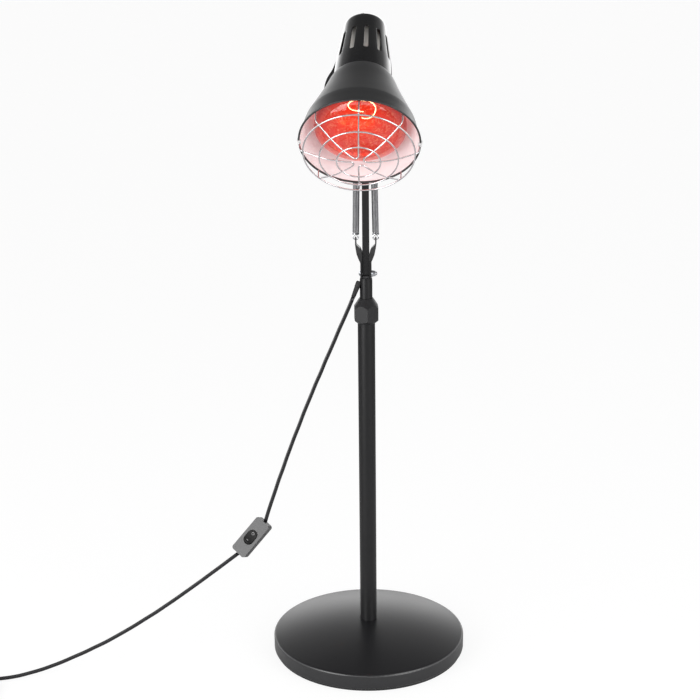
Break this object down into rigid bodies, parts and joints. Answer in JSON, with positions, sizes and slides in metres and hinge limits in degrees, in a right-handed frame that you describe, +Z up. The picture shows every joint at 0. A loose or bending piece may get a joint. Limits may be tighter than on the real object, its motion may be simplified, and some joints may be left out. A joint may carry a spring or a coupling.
{
  "type": "infrared heat therapy lamp",
  "caption": "Infrared heat lamp with a round weighted base, telescoping mast, spring-balanced tilting arm and a wide guarded shade with a red reflector bulb.",
  "frame": {"origin": "centre of the base's underside, on the surface the lamp stands on", "axes": "+Z up along the mast; the shade opens towards -Y and tips down; +X is the right side seen from the front"},
  "size_m": [0.7728, 0.4218, 0.9447],
  "materials": {
    "pad_felt": "black felt",
    "cast_weight": "as cast",
    "gloss_black": "gloss black stove enamel",
    "shade_paint": "satin black outside, white enamel inside",
    "black_paint": "satin black powder coat",
    "zinc": "bright zinc plated",
    "steel_plug": "turned",
    "dark_plastic": "matt",
    "black_plastic": "satin moulded",
    "black_rubber": "matt",
    "dark_spring": "oiled spring wire",
    "spring_steel": "bright",
    "socket_ceramic": "unglazed",
    "brass_fitting": "turned",
    "red_glass": "clear red",
    "bulb_cap": "rolled thread",
    "glowing_wire": "glowing coiled wire",
    "guard_chrome": "bright plated",
    "clip_white": "smooth",
    "switch_grey": "fine grain",
    "cord_sheath": "smooth",
    "tie_plastic": "smooth",
    "plug_plastic": "satin",
    "plug_metal": "nickel plated"
  },
  "bodies": {
    "stand": {"base_pad": "pad_felt", "base_weight": "cast_weight", "base_cover": "black_paint", "base_bolt": "zinc", "base_washer": "zinc", "pole_foot": "steel_plug", "lower_pole": "black_paint", "pole_sleeve": "dark_plastic", "switch_top": "switch_grey", "switch_bottom": "switch_grey", "switch_screws": "zinc", "cord_upper": "cord_sheath", "cord_lower": "cord_sheath", "cord_coil": "cord_sheath", "cord_tie": "tie_plastic", "plug_body": "plug_plastic", "plug_pins": "plug_metal"},
    "clamp": {"lock_nut": "black_plastic"},
    "mast": {"mast_tube": "black_paint", "mast_bush": "dark_plastic", "cord_gland": "black_rubber"},
    "fork": {"fork": "black_paint", "tilt_bolt": "zinc"},
    "tilt_nut": {"tilt_wing_nut": "zinc"},
    "arm": {"arm_tube": "black_paint", "spring_pin": "zinc", "arm_grommet": "black_rubber", "head_lead": "cord_sheath"},
    "springs": {"spring_hooks": "spring_steel", "spring_left": "dark_spring", "spring_right": "dark_spring"},
    "spring_ends": {"spring_eyes": "spring_steel"},
    "head": {"head_bracket": "black_paint", "bracket_rivets": "zinc", "head_bolt": "zinc", "neck": "gloss_black", "shade": "shade_paint", "shade_rivets": "gloss_black", "lamp_socket": "socket_ceramic", "socket_nipple": "brass_fitting", "socket_nut": "zinc", "lead_bush": "black_rubber", "bulb_glass": "red_glass", "bulb_base": "bulb_cap", "filament": "glowing_wire", "guard_ring_outer": "guard_chrome", "guard_ring_middle": "guard_chrome", "guard_ring_inner": "guard_chrome", "guard_spokes": "guard_chrome", "guard_clips": "clip_white"},
    "head_nut": {"head_wing_nut": "zinc"},
    "rocker": {"switch_rocker": "switch_grey"}
  },
  "joints": [
    {"name": "clamp_turn", "type": "hinge", "parent": "stand", "child": "clamp", "pos_m": [0, 0, 0.53], "axis": [0, 0, 1], "range_deg": [0, 90]},
    {"name": "mast_slide", "type": "slide", "parent": "stand", "child": "mast", "axis": [0, 0, 1], "range_m": [0, 0.3]},
    {"name": "fork_turn", "type": "hinge", "parent": "mast", "child": "fork", "pos_m": [0, 0, 0.575], "axis": [0, 0, 1], "range_deg": [-100, 100]},
    {"name": "arm_tilt", "type": "hinge", "parent": "fork", "child": "arm", "pos_m": [0, 0, 0.584], "axis": [1, 0, 0], "range_deg": [0, 40]},
    {"name": "tilt_nut_turn", "type": "hinge", "parent": "fork", "child": "tilt_nut", "pos_m": [0.0076, 0, 0.584], "axis": [1, 0, 0], "range_deg": [-90, 90]},
    {"name": "spring_swing", "type": "hinge", "parent": "fork", "child": "springs", "pos_m": [0, 0, 0.6335], "axis": [1, 0, 0], "range_deg": [0, 54]},
    {"name": "spring_end_swing", "type": "hinge", "parent": "arm", "child": "spring_ends", "pos_m": [0, 0, 0.758], "axis": [1, 0, 0], "range_deg": [0, 14]},
    {"name": "head_tilt", "type": "hinge", "parent": "arm", "child": "head", "pos_m": [0, 0, 0.835], "axis": [1, 0, 0], "range_deg": [-45, 30], "deforming": ["head_lead"]},
    {"name": "head_nut_turn", "type": "hinge", "parent": "arm", "child": "head_nut", "pos_m": [0.0071, 0, 0.835], "axis": [1, 0, 0], "range_deg": [-90, 90]},
    {"name": "rocker_tilt", "type": "hinge", "parent": "stand", "child": "rocker", "pos_m": [-0.16943, -0.04295, 0.19417], "axis": [0.7352, -0.4092, -0.5404], "range_deg": [0, 12]}
  ],
  "couplings": [
    {"joint": "spring_swing", "follows": "arm_tilt", "ratio": 1.345},
    {"joint": "spring_end_swing", "follows": "arm_tilt", "ratio": 0.345}
  ]
}
